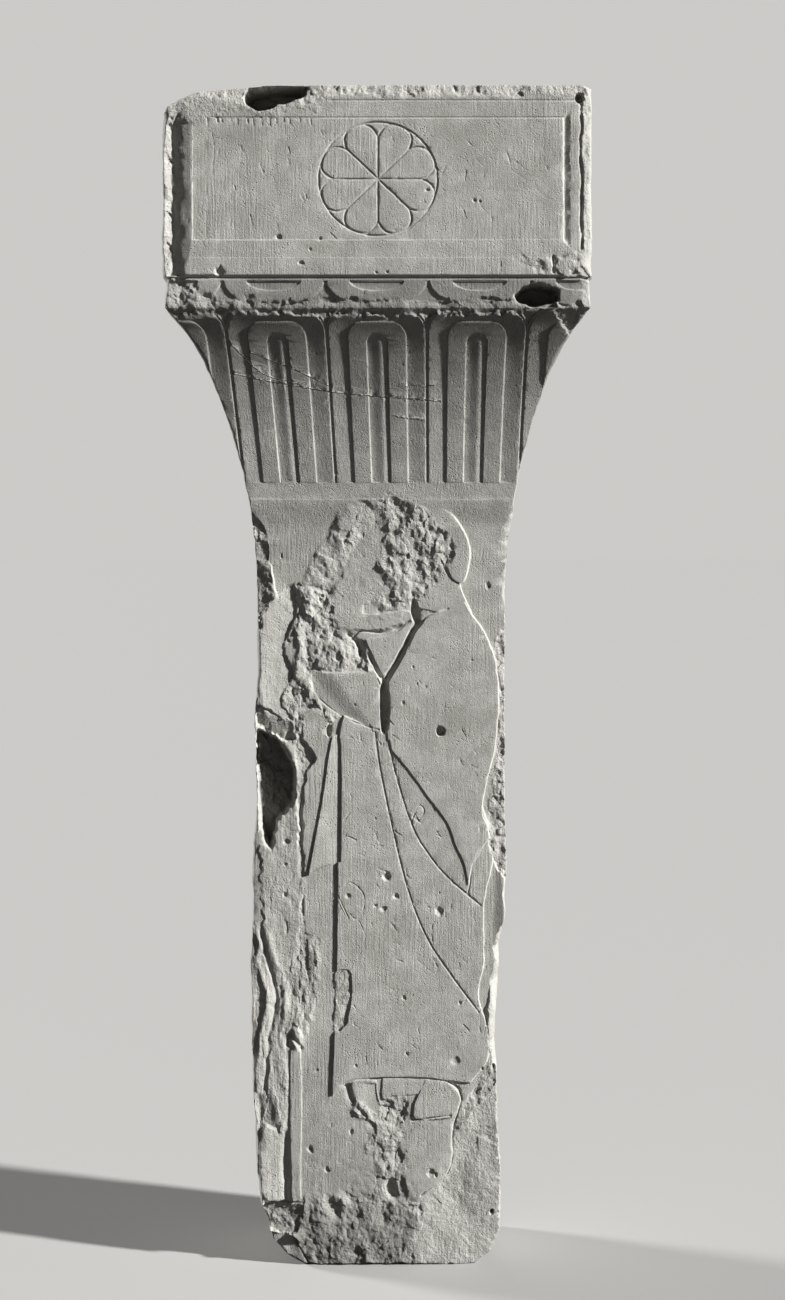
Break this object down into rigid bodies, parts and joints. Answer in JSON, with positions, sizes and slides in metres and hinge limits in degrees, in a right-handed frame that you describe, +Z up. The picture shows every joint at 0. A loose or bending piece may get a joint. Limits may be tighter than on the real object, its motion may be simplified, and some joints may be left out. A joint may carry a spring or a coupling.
{
  "type": "carved stone stele",
  "caption": "Tall limestone grave slab with a cloaked figure in low relief, a curved leaf capital and a block with a rosette panel, worn and chipped.",
  "frame": {"origin": "centre of the bounding box at the underside that the slab stands on", "axes": "+Z up, -Y out of the carved front, +X to the right of someone who faces the carving"},
  "size_m": [0.49, 0.257, 1.355],
  "materials": {
    "limestone": "matt, weathered, tooled"
  },
  "bodies": {
    "root": {"stele": "limestone"}
  },
  "joints": []
}
